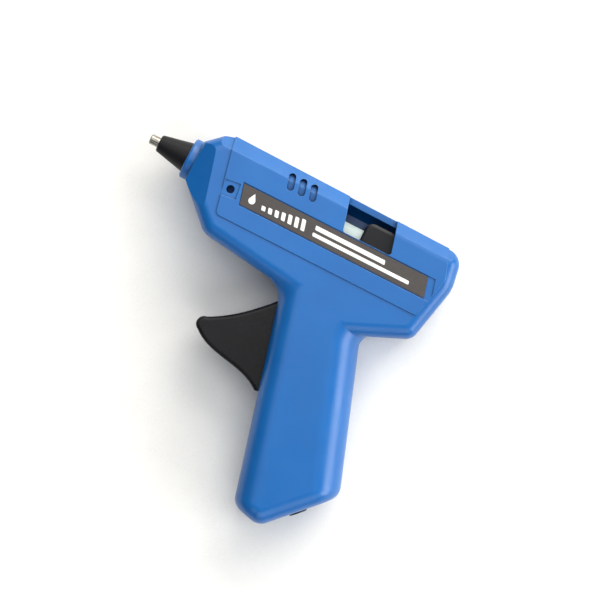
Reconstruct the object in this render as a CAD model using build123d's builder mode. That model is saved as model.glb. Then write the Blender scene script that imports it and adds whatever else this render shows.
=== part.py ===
from build123d import *
import os
from math import cos, pi, radians, sin, tan

os.makedirs("parts", exist_ok=True)

# Mini low-temperature glue gun.  X runs back along the glue channel from the nozzle tip,
# Y goes up through the barrel and Z comes out of the label side.  The housing parts at Z = 0.

# ---------------------------------------------------------------- driving sizes, mm and degrees
# Housing form
BODY_WIDTH = 25.2  # over the plain sides, without the raised panels
PANEL_STEP = 0.4  # how far the side panels stand proud
WALL = 2.0
SIDE_ROUND = 5.0  # rounding of the barrel housing's side edges
MIN_ROUND = 0.5  # least rounding left on an outline that is moved in
CHAMFER_FOOT = 9.3  # height where the top chamfer meets the panel
CREASE_X = 26.0  # middle of the crease where the nose facets begin
CREASE_Y = -3.0
CREASE_SLANT = 15.0  # the crease, window and vents all lean by this
NOSE_TAPER = 30.0  # the nose facets turn in by this
NOSE_X = 18.2  # front face of the nose, behind the collar
COLLAR_X = 15.0
COLLAR_WALL = 2.0  # collar outside the nozzle's sleeve
COLLAR_ROUND = 0.9
TOP_Y = 14.0  # top of the housing at the front
TOP_FALL = 1.1  # the top is this much lower at the rear
REAR_X = 121.2  # rearmost point of the housing
REAR_LOW_Y = -21.8
REAR_TUCK = 4.8  # the rear's low corner stands in front of its rearmost point by this
UNDERSIDE_Y = -21.7  # underside of the barrel housing at its front
GRIP_TOP_Y = -12.0  # the grip's lines are measured from this height
GRIP_FRONT_X = 62.4
GRIP_REAR_X = 93.3
GRIP_FRONT_LEAN = 14.6
GRIP_REAR_LEAN = 19.7
GRIP_FRONT_ROUND = 8.0
GRIP_REAR_ROUND = 11.0
FOOT_Y = -103.6  # front corner of the grip's foot
FOOT_LENGTH = 11.3  # nearly level part of the foot
FOOT_DIP = 13.0  # its slope
FOOT_SLOPE = 46.0  # slope of the cut-off rear of the foot
FOOT_ROUND = 5.5
NOOK_ROUND = 9.5  # blend under the barrel, above the trigger
THUMB_ROUND = 5.0  # blend behind the grip, for the web of the thumb
WEB_FALL = 10.6  # fall of the barrel's underside from its rear corner to the grip
WEB_SLOPE = 30.0  # the grip's blend rises into the barrel by this
WEB_REACH = 12.0
WEB_TUCK = 1.3  # the barrel's low line ends in front of the grip's rear by this
NOSE_STEP = 5.6  # length of the nose's first, steeper rise
NOSE_DROP = 1.2  # the rise ends this far below the top
NOSE_LENGTH = 9.6

# Side details
PANEL_LOW_Y = -13.7
STRIP_TOP = 1.0  # recessed strip that holds the label
STRIP_LOW = -7.2
STRIP_DEPTH = 0.35
LABEL_GAP = 0.4  # between the label and the edge of its recess
LABEL_THICKNESS = 0.3
LABEL_FRONT = 37.3
LABEL_TAIL = 7.6  # from the recess's rear corner to the housing's rear
LABEL_SHORT = 2.3  # the film ends this far before its recess does
LABEL_ROUND = 0.3
SOCKET_X = 34.3  # hole for the wire stand
SOCKET_Y = -3.5
SOCKET_RADIUS = 1.5
SOCKET_RIM = 1.5  # wall of the socket's boss
SOCKET_DEPTH = 3.05
SOCKET_FLOOR = 1.2
PAD_WIDTH = 5.8
VENT_COUNT = 3
VENT_X = 56.9
VENT_Y = 8.7
VENT_PITCH = 4.4
VENT_LENGTH = 6.4
VENT_WIDTH = 2.6
VENT_DEPTH = 1.2
WINDOW_FRONT = 76.9  # front and rear corners of the window's sill
WINDOW_REAR = 96.0
WINDOW_SILL = 1.2
WINDOW_ROUND = 1.0

# Glue channel
STICK_RADIUS = 3.5
STICK_PLAY = 0.3  # in the heater
TIP_RADIUS = 1.85
OUTLET_RADIUS = 1.0
OUTLET_LENGTH = 6.0
INLET_PLAY = 0.6
INLET_FRONT = 108.0
INLET_WALL = 1.5
INLET_LEAD_IN = 1.2
SLEEVE_TIP_X = 3.5
SLEEVE_TIP_RADIUS = 3.2
SLEEVE_WALL = 1.0
SLEEVE_END_X = 17.3
NOZZLE_FLANGE = 0.7
NOZZLE_BASE_X = 15.5
NOZZLE_WALL = 0.9
NOZZLE_TAPER = 8.0  # length of the bore's first, gentle taper
NOZZLE_FALL = 0.3  # fall of its radius over that length
EDGE_BREAK = 0.3  # small chamfers on turned rims
SOFT_BREAK = 0.4  # on moulded ones
SHANK_STEP = 0.1  # the nozzle's shank over the stick's bore
SHANK_END_X = 26.5
HEATER_FRONT_X = 20.5
HEATER_WALL = 2.7
HEATER_BODY_END = 54.0
SPIGOT_END = 62.0
SPIGOT_WALL = 1.1
BLOCK_FRONT = 29.0
BLOCK_REAR = 51.0
BLOCK_FLOOR = 4.2  # from the middle of the heating element to the block's underside
FEED_WALL = 1.35
FEED_PLAY = 0.1  # the feed sleeve's bore over the heater's
FEED_END_X = 84.3
FEED_ROOT = 3.0  # thick part of the feed sleeve beyond the spigot
FEED_SHOULDER = 2.0
FEED_BORE_STEP = 1.5
BAND_FRONT = 57.0  # clip round the feed sleeve
BAND_REAR = 59.0
BAND_WALL = 0.7
BAND_GAP = 1.2

# Heating element stack, from the channel downwards
PTC_LENGTH = 16.0
PTC_WIDTH = 9.0
PTC_THICKNESS = 2.4
PTC_FRONT = 31.5
PTC_DROP = 3.7  # from the heater's round body to the middle of the element
PLATE_THICKNESS = 0.4
TAB_WIDTH = 3.0
TAB_Z = 2.5
TAB_END = 52.5
FILM_THICKNESS = 0.14
POCKET_WIDTH = 10.4
POCKET_FRONT = 29.8
PLATE_LAP = 0.5  # the plates reach past the element's ends
FILM_LAP = 1.0  # the film does too
CLIP_FRONT = 35.0  # clip that squeezes the block on the element
CLIP_REAR = 43.0
CLIP_TOP = -3.0
CLIP_WALL = 0.6

# Feed mechanism
PIVOT_X = 81.0
PIVOT_Y = -26.0
PIVOT_PIN_RADIUS = 1.5
PIVOT_BOSS_RADIUS = 3.4
HUB_RADIUS = 4.6
ARM_LENGTH = 18.0
TRIGGER_SWING = 22.0
DRIVE_PIN_RADIUS = 1.2
FORK_PLAY = 0.3
PRONG = 1.8
ARM_HALF = 2.4
FIN_HALF = 4.5
TIP_X = 44.6  # foremost point of the trigger
TIP_Y = -50.5
SLOT_GAP = 0.4
SLOT_TOP = -30.5
SLOT_LOW = -65.0
TRIGGER_ROUND = 1.3
TRIGGER_TOP = [(16.8, 13.0), (9.7, 7.0), (2.6, 2.6)]  # upper line, from the tip
TRIGGER_NOSE = (1.6, -2.8)
TRIGGER_LOW = [(5.2, -5.2), (15.8, -8.2)]  # lower line, from the tip
FLANGE_HALF = 5.8
FLANGE_THICKNESS = 1.3
CARRIAGE_X = 83.5
CARRIAGE_LENGTH = 18.0
CARRIAGE_TOP = 8.9
CARRIAGE_LOW = -6.2
CARRIAGE_HALF = 9.0
CARRIAGE_NOSE_ROUND = 3.0
CARRIAGE_EDGE_ROUND = 1.2
CHEEK_LOW = -10.6
CHEEK_HALF = 6.0
CHEEK_GAP = 0.5
CHEEK_SHORT = 2.0  # the cheeks end this far before the carriage's rear
CHEEK_LAP = 0.4  # overlap of the carriage's blocks, which makes them one
FORK_ROOF = -5.2  # top of the recess that the fork's prongs move in
SLEEVE_RELIEF = 3.0  # room beyond the feed sleeve's end at full feed
RAIL_Y = -1.9
RAIL_HEIGHT = 1.8
RAIL_REACH = 8.3
RAIL_PLAY = 0.2
JAW_PIN_X = 96.0
JAW_PIN_Y = -8.2
JAW_PIN_RADIUS = 1.0
JAW_HALF = 2.2
JAW_BACK = 2.2  # from its pin to its rear face
JAW_TIP = 2.4  # from its pin to its biting edge
JAW_TIP_FLAT = 0.8
JAW_TIP_GAP = 0.1  # below the stick's channel when open
JAW_SLOT_FRONT = 4.0
JAW_SLOT_REAR = 2.0
SPRING_DROP = 3.0  # from the feed sleeve's root to the spring's axis
SPRING_RADIUS = 2.5
SPRING_WIRE = 0.5
SPRING_RIB_X = 63.0
RIB = 1.6
BLOCK_RIB_DROP = 3.0  # the cross ribs' lower ends, below the heater's round body
REAR_RIB_DROP = 1.0
SPRING_RIB_DROP = 4.5  # below the spring's axis
REAR_RIB_GAP = 1.0  # behind the block
LUG_X = 78.3
LUG_THICKNESS = 1.3
LUG_LOW = -11.4
PEG_RADIUS = 1.6
PEG_LENGTH = 2.8

# Fastening and wiring
SCREW_RADIUS = 1.3
SCREW_LENGTH = 14.7
HEAD_RADIUS = 2.5
HEAD_HEIGHT = 1.8
HEAD_SEAT = 9.2  # distance of the heads' seats from the parting plane
BOSS_RADIUS = 2.9
DRIVE_LENGTH = 2.8  # cross recess of the screws
DRIVE_WIDTH = 0.7
DRIVE_DEPTH = 1.1
LEAD_RADIUS = 0.9
BEND_SHARE = 0.45  # of a run that each bend beside it may use
CAP_RADIUS = 2.3
CAP_LENGTH = 10.0
CAP_ROUND = 0.8
CAP_GRIP = 3.5  # how far a lead goes into its cap
GLAND_ALONG = 15.0  # from the foot's low corner, along the cut-off rear
GLAND_RADIUS = 3.3
GLAND_BORE = 2.6
GLAND_PROUD = 0.8
GLAND_DEPTH = 5.6
GLAND_FLANGE = 4.65
GLAND_FLANGE_THICKNESS = 1.6
GLAND_WALL = 1.6

# Clearances
SNUG = 0.05  # between two pieces that are pressed, cast or screwed together
PIN_FIT = 0.05  # round a pin that something turns on
FREE = 0.3  # between pieces that slide past each other

HALF = BODY_WIDTH / 2
PANEL_Z = HALF + PANEL_STEP
SIDES = (1, -1)

# radii and heights that follow the glue stick
heater_bore = STICK_RADIUS + STICK_PLAY
shank_radius = heater_bore + SHANK_STEP
nozzle_radius = shank_radius + NOZZLE_FLANGE
sleeve_radius = nozzle_radius + SLEEVE_WALL
collar_radius = sleeve_radius + COLLAR_WALL
heater_radius = heater_bore + HEATER_WALL
spigot_radius = heater_bore + SPIGOT_WALL
inlet_radius = STICK_RADIUS + INLET_PLAY
feed_radius = heater_bore + FEED_PLAY + FEED_WALL
feed_root_radius = spigot_radius + SNUG + FEED_WALL
ptc_y = -heater_radius - PTC_DROP
block_low = ptc_y - BLOCK_FLOOR
spring_y = -feed_root_radius - SPRING_DROP


# ---------------------------------------------------------------- geometry helpers
def grip_front_x(y):
    """X of the grip's front line at height y."""
    return GRIP_FRONT_X + (GRIP_TOP_Y - y) * tan(radians(GRIP_FRONT_LEAN))


def grip_rear_x(y):
    """X of the grip's rear line at height y."""
    return GRIP_REAR_X + (GRIP_TOP_Y - y) * tan(radians(GRIP_REAR_LEAN))


def shrink(corners, inset):
    """Points and radii of a clockwise outline of (x, y, radius) corners, moved in by inset."""
    points = []
    radii = []
    for index, (x, y, radius) in enumerate(corners):
        before = corners[index - 1]
        after = corners[(index + 1) % len(corners)]
        came = Vector(x - before[0], y - before[1]).normalized()
        goes = Vector(after[0] - x, after[1] - y).normalized()
        inward = Vector(came.Y + goes.Y, -came.X - goes.X)
        points.append(Vector(x, y) + inward * (inset / (1 + came.dot(goes))))
        convex = came.cross(goes).Z < 0
        moved = radius - inset if convex else radius + inset
        radii.append(max(moved, MIN_ROUND) if radius else 0)
    return points, radii


def prism(corners, half, inset=0.0):
    """Straight-sided block of an outline, centred on the parting plane."""
    points, radii = shrink(corners, inset)
    with BuildPart() as block:
        with BuildSketch(Plane.XY.offset(-half)):
            with BuildLine():
                FilletPolyline(*points, radius=radii, close=True)
            make_face()
        extrude(amount=2 * half)
    return block.part


def slab(x_span, y_span, z_span):
    """Rectangular block between three pairs of limits."""
    spans = (x_span, y_span, z_span)
    with BuildPart() as block:
        with Locations(Vector(*[sum(span) / 2 for span in spans])):
            Box(*[abs(span[1] - span[0]) for span in spans])
    return block.part


def round_x(radius, start, end, y=0.0, z=0.0):
    """Cylinder along X from start to end."""
    with BuildPart() as bar:
        with BuildSketch(Plane.YZ.offset(start)):
            with Locations((y, z)):
                Circle(radius)
        extrude(amount=end - start)
    return bar.part


def round_z(radius, x, y, start, end):
    """Cylinder along Z from start to end."""
    with BuildPart() as bar:
        with BuildSketch(Plane.XY.offset(start)):
            with Locations((x, y)):
                Circle(radius)
        extrude(amount=end - start)
    return bar.part


def turned(*profile):
    """Solid turned round the glue channel's axis from (x, radius) points."""
    with BuildPart() as piece:
        with BuildSketch(Plane.XY):
            with BuildLine():
                Polyline(*profile, close=True)
            make_face()
        revolve(axis=Axis.X)
    return piece.part


def finish(piece, name):
    """Label a finished piece and write it."""
    piece.label = name
    export_step(piece, f"parts/{name}.step")


# ---------------------------------------------------------------- housing form
foot_front = (grip_front_x(FOOT_Y), FOOT_Y)
foot_low = (foot_front[0] + FOOT_LENGTH, FOOT_Y - FOOT_LENGTH * tan(radians(FOOT_DIP)))
foot_rise = tan(radians(FOOT_SLOPE))
rear_lean = tan(radians(GRIP_REAR_LEAN))
foot_rear_x = (
    GRIP_REAR_X + (GRIP_TOP_Y - foot_low[1] + foot_low[0] * foot_rise) * rear_lean
) / (1 + foot_rise * rear_lean)
foot_rear = (foot_rear_x, foot_low[1] + (foot_rear_x - foot_low[0]) * foot_rise)
grip_middle = (GRIP_TOP_Y + FOOT_Y) / 2
rear_corner_x = REAR_X - REAR_TUCK
web_slope = WEB_FALL / (rear_corner_x - GRIP_REAR_X + WEB_TUCK)
web_drop = (rear_corner_x - grip_rear_x(REAR_LOW_Y)) * web_slope / (1 + rear_lean * web_slope)
web_corner = (grip_rear_x(REAR_LOW_Y - web_drop), REAR_LOW_Y - web_drop)

BARREL_OUTLINE = [
    (NOSE_X, collar_radius, 0),
    (NOSE_X + NOSE_STEP, TOP_Y - NOSE_DROP, 2.5),
    (NOSE_X + NOSE_LENGTH, TOP_Y, 4.0),
    (REAR_X - 2.2, TOP_Y - TOP_FALL, 5.8),
    (REAR_X, 0.5, 14.0),
    (rear_corner_x, REAR_LOW_Y, 5.0),
    (GRIP_REAR_X - WEB_TUCK, REAR_LOW_Y - WEB_FALL, 0),
    (GRIP_FRONT_X + 12.6, UNDERSIDE_Y - 5.4, 0),
    (32.6, UNDERSIDE_Y, 7.0),
    (NOSE_X, -collar_radius, 0),
]
GRIP_OUTLINE = [
    (web_corner[0] + WEB_REACH, GRIP_TOP_Y, 0),
    (web_corner[0] + WEB_REACH, web_corner[1] + WEB_REACH * tan(radians(WEB_SLOPE)), 0),
    (*web_corner, THUMB_ROUND),
    (*foot_rear, 0),
    (*foot_low, 0),
    (*foot_front, 0),
    (GRIP_FRONT_X, GRIP_TOP_Y, 0),
]
PANEL_OUTLINE = [
    (26.6, TOP_Y + 3, 0),
    (REAR_X - 8.9, TOP_Y + 3, 0),
    (REAR_X - 3.9, 2.0, 3.0),
    (REAR_X - 7.6, PANEL_LOW_Y, 1.0),
    (33.6, PANEL_LOW_Y, 1.6),
]


def on_sides(edges, half):
    """Edges that lie in the two flat sides of a block."""
    return edges.filter_by(lambda edge: abs(abs(edge.center().Z) - half) < 0.001)


def across(edges):
    """Edges that don't lie in a plane parallel to the parting plane."""
    return edges.filter_by(lambda edge: edge.bounding_box().size.Z > 0.001)


def barrel_form(inset):
    """Barrel housing moved in by inset, with its side edges rounded."""
    half = HALF - inset
    with BuildPart() as form:
        add(prism(BARREL_OUTLINE, half, inset))
        fillet(on_sides(form.edges(), half).filter_by(lambda e: e.center().X < REAR_X), SIDE_ROUND - inset)
    return form.part


def grip_form(inset):
    """Grip moved in by inset, rounded more behind than in front, with a rounded foot."""
    half = HALF - inset
    with BuildPart() as form:
        add(prism(GRIP_OUTLINE, half, inset))
        uprights = on_sides(form.edges(), half).filter_by(lambda e: abs(e.center().Y - grip_middle) < 20)
        middle = sum(edge.center().X for edge in uprights) / len(uprights)
        fillet(uprights.filter_by(lambda e: e.center().X > middle), GRIP_REAR_ROUND - inset)
        uprights = on_sides(form.edges(), half).filter_by(lambda e: abs(e.center().Y - grip_middle) < 20)
        fillet(uprights.filter_by(lambda e: e.center().X < middle), GRIP_FRONT_ROUND - inset)
        straight = form.edges().filter_by(GeomType.LINE)
        fillet(straight.filter_by(lambda e: e.center().Y < foot_rear[1] + 4), FOOT_ROUND - inset)
    return form.part


def trimmed(part, inset):
    """The form with its top chamfers and nose facets cut on both sides."""
    slant = Vector(-cos(radians(CREASE_SLANT)), -sin(radians(CREASE_SLANT)))
    with BuildPart() as form:
        add(part)
        for side in SIDES:
            up = Vector(0, 1, side).normalized()
            foot = Vector(0, CHAMFER_FOOT, side * PANEL_Z)
            split(bisect_by=Plane(foot - up * (inset + PANEL_STEP), z_dir=up), keep=Keep.BOTTOM)
            ahead = slant * sin(radians(NOSE_TAPER)) + Vector(0, 0, side * cos(radians(NOSE_TAPER)))
            crease = Vector(CREASE_X, CREASE_Y, side * HALF)
            split(bisect_by=Plane(crease - ahead * inset, z_dir=ahead), keep=Keep.BOTTOM)
    return form.part


with BuildPart() as gun_form:
    add(barrel_form(0))
    add(grip_form(0))
    nook = across(gun_form.edges()).filter_by(
        lambda e: abs(e.center().X - GRIP_FRONT_X - 4) < 9 and abs(e.center().Y - UNDERSIDE_Y + 4) < 7
    )
    fillet(nook, NOOK_ROUND)
plain_form = trimmed(gun_form.part, 0)

with BuildPart() as cavity_form:
    add(barrel_form(WALL))
    add(grip_form(WALL))
cavity = trimmed(cavity_form.part, WALL)

with BuildPart() as panels:
    add(trimmed(barrel_form(-PANEL_STEP), -PANEL_STEP))
    add(prism(PANEL_OUTLINE, BODY_WIDTH), mode=Mode.INTERSECT)

# ---------------------------------------------------------------- places that several pieces share
inlet_end = REAR_X - 1.9
feed_root_end = SPIGOT_END + FEED_ROOT
half_swing = radians(TRIGGER_SWING / 2)
drive_pin_x = PIVOT_X + ARM_LENGTH * tan(half_swing)
drive_pin_y = PIVOT_Y + ARM_LENGTH
travel = 2 * ARM_LENGTH * tan(half_swing)
carriage_rear = CARRIAGE_X + CARRIAGE_LENGTH
cheek_inner = ARM_HALF + CHEEK_GAP
pin_end = CHEEK_HALF
slot_half = FIN_HALF + SLOT_GAP
boss_places = [
    (32.0, TOP_Y - 4.3),
    (54.0, UNDERSIDE_Y + 3.0),
    (REAR_X - 13.2, TOP_Y - 4.8),
    (REAR_X - 14.2, REAR_LOW_Y + 5.5),
    (grip_front_x(-71.5) + 8.6, -71.5),
    (foot_front[0] + 5.6, FOOT_Y + 10.5),
]
foot_run = Vector(foot_rear[0] - foot_low[0], foot_rear[1] - foot_low[1]).normalized()
gland_out = Vector(foot_run.Y, -foot_run.X)
gland_mouth = Vector(*foot_low) + foot_run * GLAND_ALONG


def gland_round(radius, start, end):
    """Cylinder round the cord gland's axis, between two depths below the foot's face."""
    with BuildPart() as bar:
        with BuildSketch(Plane(gland_mouth - gland_out * start, z_dir=-gland_out)):
            Circle(radius)
        extrude(amount=end - start)
    return bar.part


# ---------------------------------------------------------------- housing shells
def rib(x, low, high):
    """Cross rib of the shells, between two heights."""
    return slab((x, x + RIB), (low, high), (-HALF, HALF))


with BuildPart() as fittings:
    for x, y in boss_places:
        add(round_z(BOSS_RADIUS, x, y, -HALF, HALF))
    add(round_z(PIVOT_BOSS_RADIUS, PIVOT_X, PIVOT_Y, -HALF, HALF))
    add(
        round_z(PIVOT_BOSS_RADIUS + FREE, PIVOT_X, PIVOT_Y, -FIN_HALF - FREE, FIN_HALF + FREE),
        mode=Mode.SUBTRACT,
    )
    for side in SIDES:
        socket_back = side * (PANEL_Z - SOCKET_DEPTH - SOCKET_FLOOR)
        add(round_z(SOCKET_RADIUS + SOCKET_RIM, SOCKET_X, SOCKET_Y, socket_back, side * HALF))
        add(
            slab(
                (SPRING_RIB_X + RIB, INLET_FRONT),
                (RAIL_Y - RAIL_HEIGHT / 2, RAIL_Y + RAIL_HEIGHT / 2),
                (side * RAIL_REACH, side * HALF),
            )
        )
    add(rib(BLOCK_FRONT - RIB - FREE, -heater_radius - BLOCK_RIB_DROP, TOP_Y))
    add(rib(BLOCK_REAR + REAR_RIB_GAP, -heater_radius - REAR_RIB_DROP, TOP_Y))
    add(rib(SPRING_RIB_X, spring_y - SPRING_RIB_DROP, TOP_Y))
    add(round_x(PEG_RADIUS, SPRING_RIB_X, SPRING_RIB_X + RIB + PEG_LENGTH, spring_y))
    add(round_x(inlet_radius + INLET_WALL, INLET_FRONT, REAR_X))
    add(gland_round(GLAND_FLANGE + GLAND_WALL, 0, GLAND_DEPTH))

with BuildPart() as hollow:
    add(cavity)
    add(fittings.part, mode=Mode.SUBTRACT)

with BuildPart() as vents:
    with BuildSketch(Plane.XY.offset(-2 * PANEL_Z)):
        with Locations((VENT_X, VENT_Y)):
            with GridLocations(VENT_PITCH, 0, VENT_COUNT, 1):
                SlotOverall(VENT_LENGTH, VENT_WIDTH, rotation=90 + CREASE_SLANT)
    extrude(amount=4 * PANEL_Z)
    add(trimmed(barrel_form(VENT_DEPTH - PANEL_STEP), VENT_DEPTH - PANEL_STEP), mode=Mode.SUBTRACT)

with BuildPart() as housing:
    add(plain_form)
    add(panels.part)
    add(round_x(collar_radius, COLLAR_X, NOSE_X + WALL))
    fillet(housing.edges().filter_by(GeomType.CIRCLE).group_by(Axis.X)[0], COLLAR_ROUND)
    add(vents.part, mode=Mode.SUBTRACT)
    add(hollow.part, mode=Mode.SUBTRACT)
    # glue channel, from the nozzle's seat to the inlet behind
    add(round_x(sleeve_radius + 2 * SNUG, COLLAR_X - 1, SLEEVE_END_X + 2 * SNUG), mode=Mode.SUBTRACT)
    add(round_x(nozzle_radius + 2 * SNUG, COLLAR_X, HEATER_FRONT_X), mode=Mode.SUBTRACT)
    add(round_x(heater_radius + 2 * SNUG, HEATER_FRONT_X - SNUG, SPRING_RIB_X - FREE), mode=Mode.SUBTRACT)
    add(round_x(feed_root_radius + SNUG, HEATER_BODY_END, INLET_FRONT - FREE), mode=Mode.SUBTRACT)
    add(round_x(inlet_radius, INLET_FRONT - FREE, REAR_X + 1), mode=Mode.SUBTRACT)
    add(
        turned(
            (inlet_end, 0),
            (inlet_end, inlet_radius),
            (REAR_X + 0.8, inlet_radius + INLET_LEAD_IN),
            (REAR_X + 0.8, 0),
        ),
        mode=Mode.SUBTRACT,
    )
    # pad and socket for the wire stand, on both sides
    for side in SIDES:
        with BuildSketch(Plane.XY.offset(side * (PANEL_Z - STRIP_DEPTH))):
            with Locations((SOCKET_X, SOCKET_Y)):
                Rectangle(PAD_WIDTH, PAD_WIDTH, rotation=CREASE_SLANT / 2)
        extrude(amount=side * WALL, mode=Mode.SUBTRACT)
        add(
            round_z(SOCKET_RADIUS, SOCKET_X, SOCKET_Y, side * (PANEL_Z - SOCKET_DEPTH), side * PANEL_Z),
            mode=Mode.SUBTRACT,
        )
    # trigger slot down the front of the grip
    with BuildSketch(Plane.XY.offset(-slot_half)):
        with BuildLine():
            Polyline(
                (grip_front_x(SLOT_TOP) - 4, SLOT_TOP),
                (grip_front_x(SLOT_TOP) + 6, SLOT_TOP),
                (grip_front_x(SLOT_LOW) + 6, SLOT_LOW),
                (grip_front_x(SLOT_LOW) - 4, SLOT_LOW),
                close=True,
            )
        make_face()
    extrude(amount=2 * slot_half, mode=Mode.SUBTRACT)
    # pins, screws and gland
    add(round_z(PIVOT_PIN_RADIUS + SNUG, PIVOT_X, PIVOT_Y, -RAIL_REACH, RAIL_REACH), mode=Mode.SUBTRACT)
    for x, y in boss_places:
        add(round_z(SCREW_RADIUS + SNUG, x, y, -HEAD_SEAT, SCREW_LENGTH - HEAD_SEAT + 1), mode=Mode.SUBTRACT)
        add(round_z(SCREW_RADIUS + 4 * SNUG, x, y, -HEAD_SEAT, 0), mode=Mode.SUBTRACT)
        add(round_z(HEAD_RADIUS + FREE, x, y, -PANEL_Z - 1, -HEAD_SEAT), mode=Mode.SUBTRACT)
    add(gland_round(GLAND_RADIUS + 2 * SNUG, -2, GLAND_DEPTH + 1), mode=Mode.SUBTRACT)
    add(
        gland_round(GLAND_FLANGE + 2 * SNUG, WALL, WALL + GLAND_FLANGE_THICKNESS + 2 * SNUG),
        mode=Mode.SUBTRACT,
    )

lean = tan(radians(CREASE_SLANT))
label_rear = REAR_X - LABEL_TAIL
strip_drop = STRIP_TOP - STRIP_LOW
window_rise = TOP_Y + 3 - WINDOW_SILL
film_rear = label_rear - LABEL_SHORT
film_lean = (strip_drop - 2 * LABEL_GAP) * lean

with BuildPart() as left_shell:
    add(housing.part)
    split(bisect_by=Plane.XY, keep=Keep.TOP)
    with BuildSketch(Plane.XY.offset(PANEL_Z - STRIP_DEPTH)):
        with BuildLine():
            Polyline(
                (LABEL_FRONT, STRIP_TOP),
                (label_rear + LABEL_GAP, STRIP_TOP),
                (label_rear + LABEL_GAP + strip_drop * lean, STRIP_LOW),
                (LABEL_FRONT + strip_drop * lean, STRIP_LOW),
                close=True,
            )
        make_face()
    extrude(amount=WALL, mode=Mode.SUBTRACT)
    with BuildSketch(Plane.XY):
        with BuildLine():
            FilletPolyline(
                (WINDOW_FRONT, WINDOW_SILL),
                (WINDOW_FRONT - window_rise * lean, WINDOW_SILL + window_rise),
                (WINDOW_REAR - window_rise * lean, WINDOW_SILL + window_rise),
                (WINDOW_REAR, WINDOW_SILL),
                radius=[WINDOW_ROUND, 0, 0, WINDOW_ROUND],
                close=True,
            )
        make_face()
    extrude(amount=2 * PANEL_Z, mode=Mode.SUBTRACT)
finish(left_shell.part, "left_shell")

with BuildPart() as right_shell:
    add(housing.part)
    split(bisect_by=Plane.XY, keep=Keep.BOTTOM)
finish(right_shell.part, "right_shell")

with BuildPart() as label:
    with BuildSketch(Plane.XY.offset(PANEL_Z - STRIP_DEPTH)):
        with BuildLine():
            FilletPolyline(
                (LABEL_FRONT + LABEL_GAP, STRIP_TOP - LABEL_GAP),
                (film_rear, STRIP_TOP - LABEL_GAP),
                (film_rear + film_lean, STRIP_LOW + LABEL_GAP),
                (LABEL_FRONT + LABEL_GAP + film_lean, STRIP_LOW + LABEL_GAP),
                radius=LABEL_ROUND,
                close=True,
            )
        make_face()
    extrude(amount=LABEL_THICKNESS)
finish(label.part, "label")

# ---------------------------------------------------------------- shell screws
with BuildPart() as shell_screws:
    for x, y in boss_places:
        add(round_z(HEAD_RADIUS, x, y, -HEAD_SEAT - HEAD_HEIGHT, -HEAD_SEAT))
        add(round_z(SCREW_RADIUS, x, y, -HEAD_SEAT, SCREW_LENGTH - HEAD_SEAT))
        for turn in (0, 90):
            with BuildSketch(Plane.XY.offset(-HEAD_SEAT - HEAD_HEIGHT)):
                with Locations((x, y)):
                    Rectangle(DRIVE_LENGTH, DRIVE_WIDTH, rotation=turn)
            extrude(amount=DRIVE_DEPTH, mode=Mode.SUBTRACT)
finish(shell_screws.part, "shell_screws")

# ---------------------------------------------------------------- nozzle and its sleeve
with BuildPart() as nozzle:
    add(
        turned(
            (0, OUTLET_RADIUS),
            (0, TIP_RADIUS - EDGE_BREAK),
            (EDGE_BREAK, TIP_RADIUS),
            (SLEEVE_TIP_X, TIP_RADIUS),
            (NOZZLE_BASE_X, nozzle_radius - EDGE_BREAK),
            (NOZZLE_BASE_X, nozzle_radius),
            (HEATER_FRONT_X - SNUG, nozzle_radius),
            (HEATER_FRONT_X - SNUG, shank_radius),
            (SHANK_END_X, shank_radius),
            (SHANK_END_X, shank_radius - NOZZLE_WALL),
            (SHANK_END_X - NOZZLE_TAPER, shank_radius - NOZZLE_WALL - NOZZLE_FALL),
            (OUTLET_LENGTH, OUTLET_RADIUS),
        )
    )
finish(nozzle.part, "nozzle")

with BuildPart() as nozzle_sleeve:
    add(
        turned(
            (SLEEVE_TIP_X, TIP_RADIUS + SNUG),
            (SLEEVE_TIP_X, SLEEVE_TIP_RADIUS - SOFT_BREAK),
            (SLEEVE_TIP_X + SOFT_BREAK, SLEEVE_TIP_RADIUS),
            (COLLAR_X, sleeve_radius),
            (SLEEVE_END_X, sleeve_radius),
            (SLEEVE_END_X, nozzle_radius + SNUG),
            (NOZZLE_BASE_X - SNUG, nozzle_radius + SNUG),
            (NOZZLE_BASE_X - SNUG, nozzle_radius - EDGE_BREAK + SNUG),
        )
    )
finish(nozzle_sleeve.part, "nozzle_sleeve")

# ---------------------------------------------------------------- heater
stack_half = PTC_THICKNESS / 2 + PLATE_THICKNESS
pocket_half = stack_half + FILM_THICKNESS + 2 * SNUG
ptc_rear = PTC_FRONT + PTC_LENGTH

with BuildPart() as heater_barrel:
    add(round_x(heater_radius, HEATER_FRONT_X, HEATER_BODY_END))
    add(slab((BLOCK_FRONT, BLOCK_REAR), (block_low, 0), (-heater_radius, heater_radius)))
    add(round_x(spigot_radius, HEATER_BODY_END, SPIGOT_END))
    add(
        slab(
            (POCKET_FRONT, BLOCK_REAR),
            (ptc_y - pocket_half, ptc_y + pocket_half),
            (-POCKET_WIDTH / 2, POCKET_WIDTH / 2),
        ),
        mode=Mode.SUBTRACT,
    )
    add(round_x(heater_bore, HEATER_FRONT_X, SPIGOT_END), mode=Mode.SUBTRACT)
    add(round_x(shank_radius + SNUG, HEATER_FRONT_X, SHANK_END_X + SNUG), mode=Mode.SUBTRACT)
finish(heater_barrel.part, "heater_barrel")

with BuildPart() as ptc_element:
    add(
        slab(
            (PTC_FRONT, ptc_rear),
            (ptc_y - PTC_THICKNESS / 2, ptc_y + PTC_THICKNESS / 2),
            (-PTC_WIDTH / 2, PTC_WIDTH / 2),
        )
    )
finish(ptc_element.part, "ptc_element")

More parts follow.
